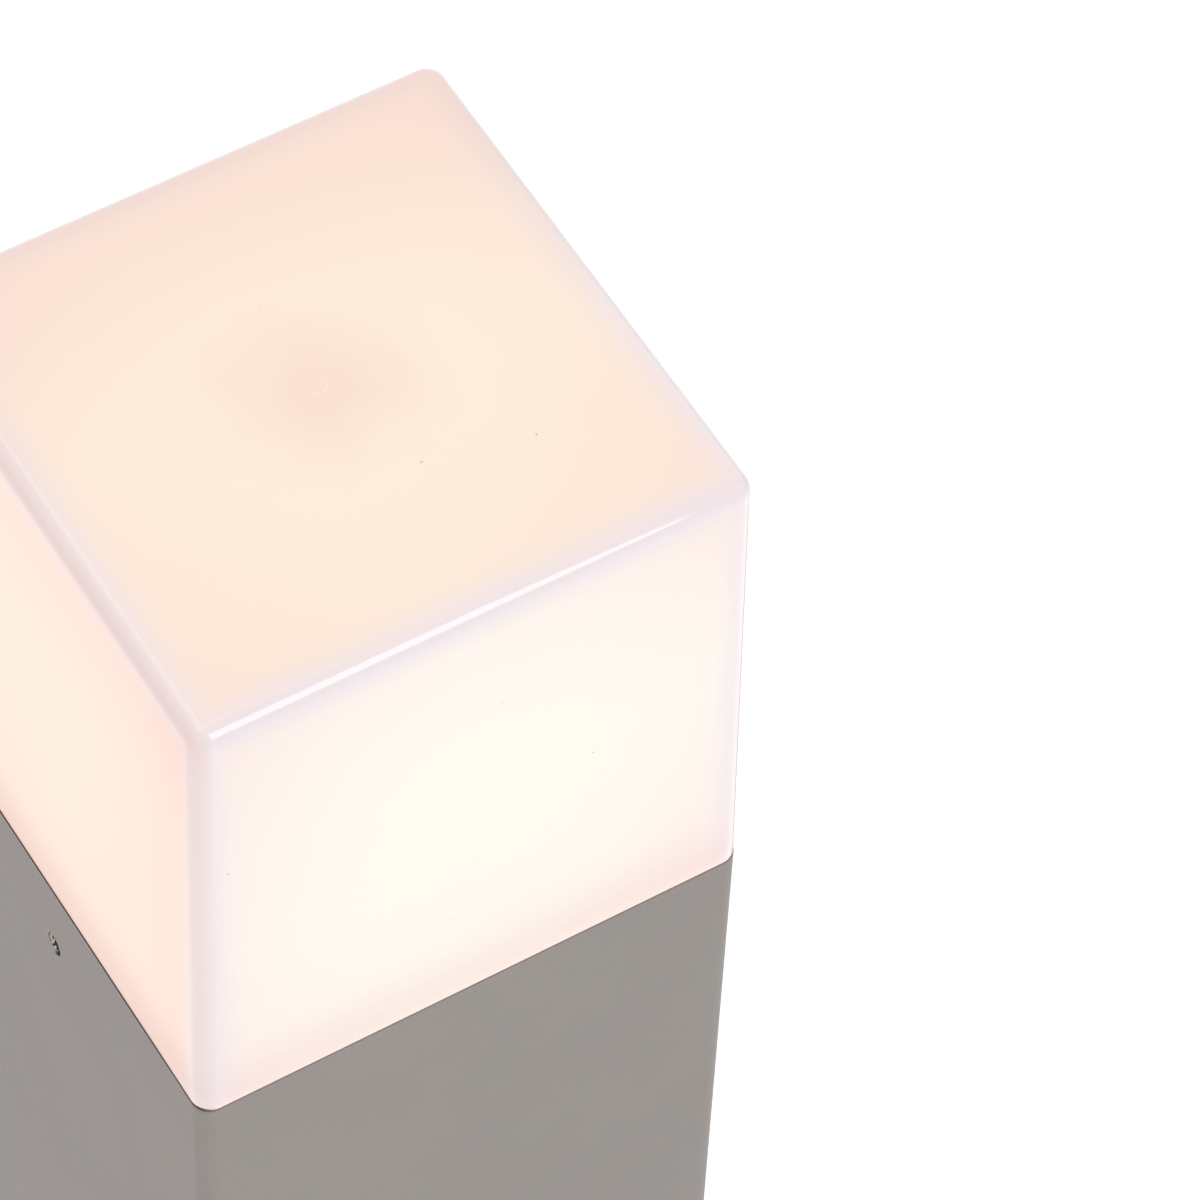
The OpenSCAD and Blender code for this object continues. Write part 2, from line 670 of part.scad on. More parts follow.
// Ring lug with its barrel along +X
module earth_lug() {
    color([0.8, 0.81, 0.82]) translate([0, earth_y, bracket_t]) difference() {
        union() {
            cylinder(r = lug_r, h = lug_t);
            translate([0, -lug_barrel_r + 0.4, 0])
                cube([lug_barrel_x + 2, 2 * lug_barrel_r - 0.8, lug_t]);
            translate([lug_barrel_x, 0, lug_barrel_r]) rotate([0, 90, 0])
                cylinder(r = lug_barrel_r, h = lug_barrel_len);
        }
        translate([0, 0, -over]) cylinder(r = earth_d / 2 + seat_gap, h = lug_t + 2 * over);
        translate([lug_barrel_x - over, 0, lug_barrel_r]) rotate([0, 90, 0])
            cylinder(r = wire_d / 2 + 0.15, h = lug_barrel_len + 2 * over);
    }
}

module earth_washer() {
    color([0.8, 0.81, 0.82]) translate([0, earth_y, bracket_t + lug_t]) difference() {
        cylinder(r = washer_r, h = washer_t);
        translate([0, 0, -over]) cylinder(r = earth_d / 2 + seat_gap, h = washer_t + 2 * over);
    }
}

module earth_screw() {
    color([0.75, 0.74, 0.72]) translate([0, earth_y, earth_stack])
        pan_screw(earth_d, earth_stack - 0.4, 7.6, 2.4);
}

post_tube();
rim_seal();
shade();
clamp_screw_left();
clamp_screw_right();
lampholder_bridge();
lampholder_base();
lampholder_shell();
lampholder_liner();
lampholder_terminals();
lampholder_terminal_screws();
lampholder_screws();
centre_contact();
bulb_tip();
bulb_insulator();
bulb_cap();
bulb_housing();
bulb_dome();
bulb_led_board();
bulb_leds();
bulb_driver();
wire_live();
wire_neutral();
wire_earth();
wire_clips();
ground_bracket();
bracket_nuts();
foot_screws();
cable_grommet();
terminal_block();
terminal_tubes();
terminal_screws();
block_screws();
earth_lug();
earth_washer();
earth_screw();
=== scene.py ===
import json
import math

import bmesh
import bpy
from mathutils import Matrix, Vector


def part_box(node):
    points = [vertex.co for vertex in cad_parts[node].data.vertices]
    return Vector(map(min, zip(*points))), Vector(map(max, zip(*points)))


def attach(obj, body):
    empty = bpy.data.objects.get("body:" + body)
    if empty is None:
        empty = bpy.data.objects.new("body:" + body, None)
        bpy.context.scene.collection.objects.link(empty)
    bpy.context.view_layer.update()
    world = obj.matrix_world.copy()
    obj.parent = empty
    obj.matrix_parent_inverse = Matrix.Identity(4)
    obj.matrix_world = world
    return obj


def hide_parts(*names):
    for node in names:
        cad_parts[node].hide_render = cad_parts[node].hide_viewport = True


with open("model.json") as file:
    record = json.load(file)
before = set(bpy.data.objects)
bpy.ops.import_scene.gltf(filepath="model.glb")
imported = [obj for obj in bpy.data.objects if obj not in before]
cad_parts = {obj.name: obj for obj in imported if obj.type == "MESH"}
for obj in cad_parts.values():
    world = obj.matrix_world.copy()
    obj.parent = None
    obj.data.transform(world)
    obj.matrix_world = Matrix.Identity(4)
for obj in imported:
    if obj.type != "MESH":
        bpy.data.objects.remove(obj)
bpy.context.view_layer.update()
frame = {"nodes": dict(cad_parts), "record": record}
nodes = frame["nodes"]

MM = 0.001
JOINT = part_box("rim_seal")[1][2]    # height where the shade meets its seal
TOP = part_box("shade")[1][2]
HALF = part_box("post_tube")[1][0]    # half of the post's width
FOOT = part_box("shade")[1][0]        # half of the shade's width at its foot
NECK_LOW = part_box("shade")[0][2]
SCREW_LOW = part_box("clamp_screw_left")[0][2]
SCREW_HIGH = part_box("clamp_screw_left")[1][2]
SCREW_Z = (SCREW_LOW + SCREW_HIGH) / 2


# Camera of the photograph, fitted to the straight edges of the lamp
SENSOR_WIDTH = 36
LENS = 205.098
NEAREST, FARTHEST = 0.01, 30
camera_data = bpy.data.cameras.new("camera")
camera_data.sensor_width = SENSOR_WIDTH
camera_data.lens = LENS
camera_data.clip_start = NEAREST
camera_data.clip_end = FARTHEST
camera = bpy.data.objects.new("camera", camera_data)
bpy.context.collection.objects.link(camera)
right = Vector((0.85624485, -0.51559764, 0.03168322))
up = Vector((0.40205472, 0.70368405, 0.58581632))
back = Vector((-0.32434049, -0.48886382, 0.80982431))
eye = Vector((-0.31268, -0.551369, 0.921549 + JOINT))
camera.matrix_world = Matrix((
    (right.x, up.x, back.x, eye.x),
    (right.y, up.y, back.y, eye.y),
    (right.z, up.z, back.z, eye.z),
    (0, 0, 0, 1)))
bpy.context.scene.camera = camera


# Materials
def srgb(r, g, b):
    """A screen colour from 0 to 255, as the linear values that Blender takes."""
    offset, power, dark_slope, last_dark = 0.055, 2.4, 12.92, 10
    return tuple(((v / 255 + offset) / (1 + offset)) ** power if v > last_dark else v / 255 / dark_slope
                 for v in (r, g, b))


class Nodes:
    """A short way to build one material's node tree."""

    def __init__(self, name):
        self.mat = bpy.data.materials.new(name)
        self.mat.use_nodes = True
        self.tree = self.mat.node_tree
        self.tree.nodes.clear()
        self.out = self.add("ShaderNodeOutputMaterial")
        self.bsdf = self.add("ShaderNodeBsdfPrincipled")
        self.link(self.bsdf.outputs[0], self.out.inputs[0])
        self.coord = self.add("ShaderNodeTexCoord")

    def add(self, kind, **values):
        n = self.tree.nodes.new(kind)
        for k, v in values.items():
            setattr(n, k, v)
        return n

    def link(self, a, b):
        self.tree.links.new(a, b)

    def put(self, value, socket):
        if isinstance(value, bpy.types.NodeSocket):
            self.link(value, socket)
        else:
            socket.default_value = value

    def math(self, op, a, b=0.0, c=0.0, clamp=False):
        n = self.add("ShaderNodeMath", operation=op, use_clamp=clamp)
        for v, s in zip((a, b, c), n.inputs):
            self.put(v, s)
        return n.outputs[0]

    def noise(self, scale, detail=3.0, rough=0.55, stretch=None):
        source = self.coord.outputs["Object"]
        if stretch:
            m = self.add("ShaderNodeMapping")
            m.inputs["Scale"].default_value = stretch
            self.link(source, m.inputs["Vector"])
            source = m.outputs[0]
        n = self.add("ShaderNodeTexNoise")
        self.link(source, n.inputs["Vector"])
        n.inputs["Scale"].default_value = scale
        n.inputs["Detail"].default_value = detail
        n.inputs["Roughness"].default_value = rough
        return n.outputs["Fac"]

    def ramp(self, fac, low, high, low_out=0.0, high_out=1.0, smooth=True):
        n = self.add("ShaderNodeMapRange", interpolation_type="SMOOTHSTEP" if smooth else "LINEAR")
        for v, s in zip((fac, low, high, low_out, high_out), n.inputs):
            self.put(v, s)
        return n.outputs[0]

    def mix(self, fac, a, b):
        n = self.add("ShaderNodeMix", data_type="RGBA")
        self.put(fac, n.inputs[0])
        # 6 and 7 are the node's two colour inputs, and 2 is its colour output
        for v, s in ((a, n.inputs[6]), (b, n.inputs[7])):
            self.put(v if isinstance(v, bpy.types.NodeSocket) else (*v, 1.0), s)
        return n.outputs[2]

    def bump(self, height, strength, distance, under=None):
        n = self.add("ShaderNodeBump")
        n.inputs["Strength"].default_value = strength
        n.inputs["Distance"].default_value = distance
        self.link(height, n.inputs["Height"])
        if under is not None:
            self.link(under, n.inputs["Normal"])
        return n.outputs[0]

    def set(self, **values):
        for k, v in values.items():
            s = self.bsdf.inputs[k.replace("_", " ")]
            self.put((*v, 1.0) if isinstance(v, tuple) and len(v) == 3 else v, s)


# Lean of the bands of light and dark on a clamp screw, in degrees from +Y
BAND_TURN = 31


def across_screw(m, turn):
    """A point's place along two axes through the centre of a clamp screw's head, turned by an
    angle in degrees from +Y."""
    sep = m.add("ShaderNodeSeparateXYZ")
    m.link(m.coord.outputs["Object"], sep.inputs[0])
    y = sep.outputs["Y"]
    z = m.math("SUBTRACT", sep.outputs["Z"], SCREW_Z)
    c, s = math.cos(math.radians(turn)), math.sin(math.radians(turn))
    along = m.math("ADD", m.math("MULTIPLY", y, c), m.math("MULTIPLY", z, s))
    beside = m.math("ADD", m.math("MULTIPLY", y, -s), m.math("MULTIPLY", z, c))
    return along, beside


def from_screw(m):
    """Distance of a point from the axis of the clamp screws."""
    y, z = across_screw(m, 0)
    return m.math("SQRT", m.math("ADD", m.math("MULTIPLY", y, y), m.math("MULTIPLY", z, z)))


def powder_coat():
    """Fine-grained matt powder coat: orange peel, faint patches, a few specks, and bare metal in
    the seats of the clamp screws, pale partly as painted light, with a painted shadow low in each."""
    m = Nodes("powder_coat")
    grain = m.noise(2600, 2, 0.5)
    peel = m.noise(620, 2, 0.5)
    cloud = m.noise(26, 3, 0.6)
    warm = m.noise(60, 3, 0.6)
    speck = m.ramp(m.noise(900, 1, 0.4), 0.76, 0.80)
    base = m.mix(m.ramp(cloud, 0.3, 0.7), srgb(153, 147, 143), srgb(158, 152, 147))
    base = m.mix(m.ramp(warm, 0.35, 0.65, 0, 0.4), base, srgb(153, 151, 145))
    base = m.mix(m.ramp(grain, 0.3, 0.7, 0, 0.16), base, srgb(138, 132, 128))
    base = m.mix(m.math("MULTIPLY", speck, 0.35), base, srgb(190, 185, 180))
    # bare metal in a screw's seat, pale partly as painted light on its wall, with a painted shadow in
    # its lower end
    seat_edge, seat_full = 2.38 * MM, 2.34 * MM
    along, _ = across_screw(m, BAND_TURN)
    seat = m.mix(m.ramp(along, -1.2 * MM, -1.9 * MM), srgb(246, 238, 228), srgb(40, 32, 28))
    base = m.mix(m.ramp(from_screw(m), seat_edge, seat_full, 0, 0.8), base, seat)
    m.set(Base_Color=base, Roughness=m.ramp(grain, 0.3, 0.7, 0.46, 0.6))
    m.bsdf.inputs["Specular IOR Level"].default_value = 0.42
    m.set(Normal=m.bump(grain, 0.28, 0.00012, m.bump(peel, 0.22, 0.0003)))
    return m.mat


def metal(name, color, rough, stretch=None, scale=900, wear=0.25, bump=0.08, dark=0.78):
    """Machined or rolled metal: fine lines or grain, dull patches."""
    m = Nodes(name)
    line = m.noise(scale, 3, 0.6, stretch=stretch)
    patch = m.noise(110, 4, 0.6)
    low = tuple(c * dark for c in color)
    base = m.mix(m.ramp(patch, 0.35, 0.7, 0, 1), color, low)
    base = m.mix(m.ramp(line, 0.35, 0.65, 0, wear), base, tuple(min(1, c * 1.15) for c in color))
    m.set(Base_Color=base, Metallic=1.0, Roughness=m.ramp(patch, 0.3, 0.7, rough, rough + 0.16))
    m.set(Normal=m.bump(line, bump, 0.0001))
    return m.mat


def screw_steel():
    """Domed head of a clamp screw: painted shade in bands on both sides of its crown, and a painted
    highlight between them, which is not metallic."""
    m = Nodes("clamp_steel")
    patch = m.noise(900, 3, 0.6)
    along, beside = across_screw(m, BAND_TURN)
    # the upper band of painted shade comes in to the middle at its lower end
    upper = m.math("MULTIPLY_ADD", m.math("MINIMUM", along, 0.0), -0.7, beside)
    flank = m.math("MAXIMUM", upper, m.math("MULTIPLY", beside, -1.0))
    flank = m.math("ADD", flank, m.math("MULTIPLY_ADD", patch, 0.3 * MM, -0.15 * MM))
    # painted shade in two bands beside the crown
    painted_shade_band = m.math("MULTIPLY", m.ramp(flank, 0.6 * MM, 0.8 * MM),
                    m.ramp(m.math("ABSOLUTE", along), 2.3 * MM, 1.7 * MM))
    # a painted highlight on the crown between the bands
    painted_glint = m.math("MULTIPLY", m.ramp(along, 0.8 * MM, 0.5 * MM),
                    m.ramp(along, -1.4 * MM, -1.0 * MM))
    base = m.mix(painted_glint, srgb(160, 152, 146), srgb(255, 253, 248))
    base = m.mix(painted_shade_band, base, srgb(28, 22, 18))
    bare = m.math("MULTIPLY", m.math("SUBTRACT", 1.0, painted_glint), m.math("SUBTRACT", 1.0, painted_shade_band))
    m.set(Base_Color=base, Metallic=m.math("MULTIPLY", bare, 0.75))
    m.set(Roughness=m.ramp(patch, 0.3, 0.7, 0.16, 0.3))
    m.bsdf.inputs["Specular IOR Level"].default_value = 0.1
    m.set(Normal=m.bump(patch, 0.1, 0.0001))
    return m.mat


def moulded(name, color, rough, grain=0.05, scale=1500, spec=0.5):
    """Moulded plastic or rubber: fine spark-eroded grain and slight unevenness."""
    m = Nodes(name)
    fine = m.noise(scale, 2, 0.5)
    cloud = m.noise(70, 3, 0.55)
    base = m.mix(m.ramp(cloud, 0.3, 0.7), color, tuple(c * 0.9 for c in color))
    m.set(Base_Color=base, Roughness=m.ramp(fine, 0.3, 0.7, rough, rough + 0.1))
    m.bsdf.inputs["Specular IOR Level"].default_value = spec
    m.set(Normal=m.bump(fine, grain, 0.0002))
    return m.mat


def zinc(name):
    """Zinc-plated sheet: cool grey with faint crystals."""
    m = Nodes(name)
    v = m.add("ShaderNodeTexVoronoi", feature="F1")
    m.link(m.coord.outputs["Object"], v.inputs["Vector"])
    v.inputs["Scale"].default_value = 130
    tone = m.add("ShaderNodeSeparateColor")
    m.link(v.outputs["Color"], tone.inputs[0])
    patch = m.noise(60, 4, 0.6)
    base = m.mix(m.ramp(tone.outputs[0], 0, 1, 0, 1), srgb(176, 181, 186), srgb(203, 206, 209))
    base = m.mix(m.ramp(patch, 0.45, 0.75, 0, 0.4), base, srgb(150, 152, 152))
    m.set(Base_Color=base, Metallic=1.0, Roughness=m.ramp(tone.outputs[0], 0, 1, 0.3, 0.46))
    m.set(Normal=m.bump(m.noise(1300, 2, 0.5), 0.06, 0.0001))
    return m.mat


def striped():
    """Green and yellow insulation of the earth lead."""
    m = Nodes("wire_green_yellow")
    sep = m.add("ShaderNodeSeparateXYZ")
    m.link(m.coord.outputs["Normal"], sep.inputs[0])
    side = m.math("ADD", sep.outputs["Z"], m.math("MULTIPLY", sep.outputs["X"], 0.4))
    fine = m.noise(1500, 2, 0.5)
    base = m.mix(m.ramp(side, -0.05, 0.05), srgb(58, 128, 52), srgb(226, 205, 48))
    m.set(Base_Color=base, Roughness=m.ramp(fine, 0.3, 0.7, 0.36, 0.46))
    m.set(Normal=m.bump(fine, 0.04, 0.0001))
    return m.mat


def glow_bulb():
    """Lit opal dome of the bulb, brighter towards its crown."""
    m = Nodes("bulb_opal")
    sep = m.add("ShaderNodeSeparateXYZ")
    m.link(m.coord.outputs["Object"], sep.inputs[0])
    high = m.ramp(sep.outputs["Z"], JOINT + 0.03, JOINT + 0.07)
    fine = m.noise(900, 2, 0.5)
    color = m.mix(high, srgb(255, 222, 178), srgb(255, 240, 214))
    m.set(Base_Color=srgb(158, 154, 146), Roughness=m.ramp(fine, 0.3, 0.7, 0.34, 0.42))
    m.set(Emission_Color=color)
    m.bsdf.inputs["Emission Strength"].default_value = 0.5
    m.set(Normal=m.bump(fine, 0.03, 0.0001))
    return m.mat


# Share of the room's light that the opal shade sends back; the rest of its brightness is glow
SHADE_ALBEDO = 0.36

# Light of the shade's walls, by the way that they face: near the bulb, and away from it
FRONT_NEAR, FRONT_AWAY = srgb(254, 250, 241), srgb(250, 231, 226)
LEFT_NEAR, LEFT_AWAY = srgb(251, 228, 211), srgb(242, 211, 204)
TOP_NEAR, TOP_AWAY = srgb(255, 239, 221), srgb(252, 226, 215)
CROWN_SPOT, TOP_BACK = srgb(250, 224, 209), srgb(249, 222, 210)
# Light of its round edges
RIM_FRONT, RIM_BACK = srgb(240, 231, 237), srgb(236, 216, 211)
RIM_LEFT_LOW, RIM_LEFT_HIGH = srgb(238, 224, 204), srgb(236, 214, 206)
RIM_TURNED = srgb(218, 209, 210)
# Light of its foot with a painted highlight, a painted shadow in its joint, and dust on it
FOOT_DIM, FOOT_DIM_LEFT = srgb(238, 208, 199), srgb(208, 183, 170)
FOOT_HIGHLIGHT = srgb(252, 236, 231)
GAP_SHADE_COLOR, DUST = srgb(96, 78, 68), srgb(186, 160, 146)
# Heights above the joint over which the foot's light, its painted highlight and its painted shadow
# change
DIM_HEIGHT = 18 * MM
HIGHLIGHT_TOP, HIGHLIGHT_FULL = 0.7 * MM, 0.3 * MM
GAP_SHADE_TOP, GAP_SHADE_FULL = 0.6 * MM, 0.3 * MM


def glow_shade():
    """Opal acrylic lit from within: brightest where the wall faces the bulb, cooler along the
    round edges, dim over the bulb's crown and next to the post's rim."""
    m = Nodes("opal_shade")
    sep = m.add("ShaderNodeSeparateXYZ")
    m.link(m.coord.outputs["Object"], sep.inputs[0])
    x, y, z = sep.outputs
    ax = m.math("ABSOLUTE", m.math("DIVIDE", x, HALF))
    ay = m.math("ABSOLUTE", m.math("DIVIDE", y, HALF))
    high = m.math("DIVIDE", m.math("SUBTRACT", z, (JOINT + TOP) / 2), (TOP - JOINT) / 2)
    # squared distance from the bulb beyond the middle of a face, 0 there and 2 in a corner
    far = m.math("ADD", m.math("ADD", m.math("MULTIPLY", ax, ax), m.math("MULTIPLY", ay, ay)),
                 m.math("MULTIPLY_ADD", high, high, -1.0))
    cloud = m.noise(30, 2, 0.5)
    far = m.math("ADD", far, m.math("MULTIPLY_ADD", cloud, 0.5, -0.25))

    facing = m.add("ShaderNodeSeparateXYZ")
    m.link(m.coord.outputs["Normal"], facing.inputs[0])
    nx, ny, nz = facing.outputs
    left = m.ramp(nx, 0.0, -0.9)
    top = m.ramp(nz, 0.3, 0.9)
    near = m.mix(top, m.mix(left, FRONT_NEAR, LEFT_NEAR), TOP_NEAR)
    away = m.mix(top, m.mix(left, FRONT_AWAY, LEFT_AWAY), TOP_AWAY)
    color = m.mix(m.ramp(far, 0.0, 2.0, 0, 1, smooth=False), near, away)
    # soft dim spot over the bulb's crown, and a slight fall towards the back of the top
    flat = m.math("SQRT", m.math("ADD", m.math("MULTIPLY", ax, ax), m.math("MULTIPLY", ay, ay)))
    spot = m.math("ADD", flat, m.math("MULTIPLY_ADD", m.noise(55, 2, 0.5), 0.3, -0.15))
    color = m.mix(m.math("MULTIPLY", top, m.ramp(spot, 0.45, 0.0, 0, 0.85)), color, CROWN_SPOT)
    color = m.mix(m.math("MULTIPLY", top, m.ramp(y, 0.0, HALF, 0, 0.6)), color, TOP_BACK)
    # cooler and dimmer light out of the round edges, most at the back and on the right
    pair = m.math("MINIMUM", ax, ay)
    edge = m.math("MAXIMUM", pair, m.math("MINIMUM", m.math("MAXIMUM", ax, ay), high))
    back = m.ramp(m.math("ADD", y, m.math("MULTIPLY", nx, 0.02)), -0.3 * HALF, HALF)
    rim = m.mix(back, RIM_FRONT, RIM_BACK)
    rim = m.mix(m.math("MULTIPLY", left, m.ramp(high, 0.95, 0.7, 0, 0.35)), rim, RIM_LEFT_LOW)
    rim = m.mix(m.math("MULTIPLY", left, m.ramp(high, 0.7, 0.95, 0, 0.5)), rim, RIM_LEFT_HIGH)
    color = m.mix(m.ramp(edge, 0.82, 0.98, 0, 0.85), color, rim)
    # the roundings that turn away to the back and the right send out least
    turned = m.math("MAXIMUM", nx, ny)
    turned = m.math("MULTIPLY", m.ramp(turned, 0.42, 0.76), m.ramp(turned, 0.995, 0.97, 0, 0.7))
    color = m.mix(m.math("MULTIPLY", turned, m.ramp(edge, 0.92, 0.945)), color, RIM_TURNED)
    # dimmer towards the post's rim, with a painted highlight along the very foot
    dim = m.mix(left, FOOT_DIM, FOOT_DIM_LEFT)
    fall = m.mix(left, (0.34,) * 3, (0.42,) * 3)
    fall = m.math("MULTIPLY", fall, m.ramp(pair, 0.88, 0.98, 1, 0.25))
    fall = m.math("MULTIPLY", fall, m.ramp(z, JOINT + DIM_HEIGHT, JOINT))
    color = m.mix(fall, color, dim)
    foot_highlight = m.math("MULTIPLY", m.ramp(z, JOINT + HIGHLIGHT_TOP, JOINT + HIGHLIGHT_FULL, 0, 0.7),
                 m.math("SUBTRACT", 1.0, left))
    color = m.mix(foot_highlight, color, FOOT_HIGHLIGHT)
    # a thin painted shadow at the joint on the left, which fades out just under it
    gap_shade = m.math("MULTIPLY", m.ramp(z, JOINT + GAP_SHADE_TOP, JOINT + GAP_SHADE_FULL),
                   m.ramp(z, JOINT - GAP_SHADE_FULL, JOINT))
    gap_shade = m.math("MULTIPLY", gap_shade, left)
    color = m.mix(gap_shade, color, GAP_SHADE_COLOR)
    # a few specks of dust
    cell = m.add("ShaderNodeTexVoronoi", feature="F1")
    m.link(m.coord.outputs["Object"], cell.inputs["Vector"])
    cell.inputs["Scale"].default_value = 95
    speck = m.ramp(cell.outputs["Distance"], 0.028, 0.014, 0, 0.5)
    color = m.mix(speck, color, DUST)

    own = m.add("ShaderNodeVectorMath", operation="SUBTRACT")
    m.link(color, own.inputs[0])
    own.inputs[1].default_value = (SHADE_ALBEDO,) * 3
    fine = m.noise(300, 2, 0.5)
    m.set(Base_Color=(SHADE_ALBEDO,) * 3, Roughness=m.ramp(fine, 0.3, 0.7, 0.05, 0.08))
    m.link(own.outputs[0], m.bsdf.inputs["Emission Color"])
    # worn gloss: no mirror-like sheen at the most grazing angles
    graze = m.add("ShaderNodeLayerWeight")
    graze.inputs["Blend"].default_value = 0.5
    gloss = m.ramp(graze.outputs["Facing"], 0.69, 0.86, 0.5, 0.0)
    m.link(gloss, m.bsdf.inputs["Specular IOR Level"])
    m.bsdf.inputs["Emission Strength"].default_value = 1.0
    m.set(Normal=m.bump(m.noise(45, 2, 0.5), 0.02, 0.001))
    return m.mat


def rim_rubber():
    """Seal of the shade, with painted light making it pale on the front and painted shade making it
    dark on the left.
    """
    m = Nodes("seal_rubber")
    facing = m.add("ShaderNodeSeparateXYZ")
    m.link(m.coord.outputs["Normal"], facing.inputs[0])
    # painted light on the seal's front, painted shade on its left
    painted_light_front = m.ramp(facing.outputs["X"], 0.1, -0.8, 1, 0)
    fine = m.noise(1500, 2, 0.5)
    base = m.mix(painted_light_front, srgb(74, 54, 46), srgb(172, 156, 148))
    base = m.mix(m.ramp(fine, 0.3, 0.7, 0, 0.2), base, srgb(110, 96, 88))
    m.set(Base_Color=base, Roughness=m.ramp(fine, 0.3, 0.7, 0.6, 0.7))
    m.set(Normal=m.bump(fine, 0.12, 0.0002))
    return m.mat


STEEL = srgb(214, 212, 208)
materials = {
    "post_coat": powder_coat(),
    "seal_rubber": rim_rubber(),
    "grommet_rubber": moulded("grommet_rubber", srgb(38, 38, 38), 0.6, 0.12),
    "opal_shade": glow_shade(),
    "clamp_steel": screw_steel(),
    "stainless": metal("stainless", STEEL, 0.2, stretch=(1, 1, 9), scale=500),
    "bare_aluminium": metal("bare_aluminium", srgb(208, 210, 212), 0.34, stretch=(1, 16, 1), scale=420),
    "zinc_steel": zinc("zinc_steel"),
    "holder_plastic": moulded("holder_plastic", srgb(236, 234, 228), 0.4, 0.05),
    "nickel_brass": metal("nickel_brass", srgb(214, 207, 188), 0.26, stretch=(1, 1, 12), scale=300),
    "brass": metal("brass", srgb(214, 178, 104), 0.28, stretch=(1, 9, 1), scale=420),
    "cap_metal": metal("cap_metal", srgb(212, 212, 210), 0.28, stretch=(1, 1, 14), scale=300),
    "black_insulator": moulded("black_insulator", srgb(28, 28, 30), 0.16, 0.02),
    "bulb_body": moulded("bulb_body", srgb(243, 243, 241), 0.42, 0.05),
    "bulb_opal": glow_bulb(),
    "board_white": moulded("board_white", srgb(236, 238, 240), 0.4, 0.02),
    "led_yellow": moulded("led_yellow", srgb(246, 214, 96), 0.3, 0.02),
    "board_green": moulded("board_green", srgb(44, 106, 62), 0.4, 0.05),
    "wire_brown": moulded("wire_brown", srgb(108, 64, 38), 0.36, 0.04),
    "wire_blue": moulded("wire_blue", srgb(40, 84, 158), 0.36, 0.04),
    "wire_green_yellow": striped(),
    "clip_nylon": moulded("clip_nylon", srgb(240, 240, 236), 0.45, 0.05),
    "block_plastic": moulded("block_plastic", srgb(232, 232, 224), 0.42, 0.06),
}
own_material = {"cable_grommet": "grommet_rubber", "clamp_screw_left": "clamp_steel",
                "clamp_screw_right": "clamp_steel"}
for entry in frame["record"]["subparts"]:
    chosen = own_material.get(entry["node"], entry["material_slot"])
    target = nodes[entry["node"]]
    for s in target.material_slots:
        s.material = materials[chosen]
    if not target.material_slots:
        target.data.materials.append(materials[chosen])


# Mesh helpers
def new_object(name, mesh, material, body, smooth):
    mesh.materials.append(materials[material])
    obj = bpy.data.objects.new(name, mesh)
    bpy.context.collection.objects.link(obj)
    for p in mesh.polygons:
        p.use_smooth = True
    mesh.set_sharp_from_angle(angle=math.radians(smooth))
    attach(obj, body)
    return obj


def square_ring(half, r, z, arc=10, side=8):
    """Points of a square with round corners, in a fixed number and order."""
    points = []
    for k in range(4):
        turn = Matrix.Rotation(math.radians(90 * k), 3, "Z")
        for i in range(arc + 1):
            a = math.radians(90 * i / arc)
            points.append(turn @ Vector((half - r + r * math.cos(a), half - r + r * math.sin(a), z)))
        flat = 2 * (half - r)
        for i in range(1, side):
            points.append(turn @ Vector((half - r - flat * i / side, half, z)))
    return [p * MM for p in points]


def loft(name, rings):
    """One closed skin through rings of the same length, capped at both ends."""
    bm = bmesh.new()
    rows = [[bm.verts.new(p) for p in ring] for ring in rings]
    n = len(rows[0])
    for a, b in zip(rows, rows[1:]):
        for i in range(n):
            bm.faces.new((a[i], a[(i + 1) % n], b[(i + 1) % n], b[i]))
    bm.faces.new(list(reversed(rows[0])))
    bm.faces.new(rows[-1])
    # a fully round ring has no straight sides: their points fall together
    bmesh.ops.remove_doubles(bm, verts=bm.verts, dist=0.001 * MM)
    bmesh.ops.recalc_face_normals(bm, faces=bm.faces)
    mesh = bpy.data.meshes.new(name)
    bm.to_mesh(mesh)
    bm.free()
    return mesh


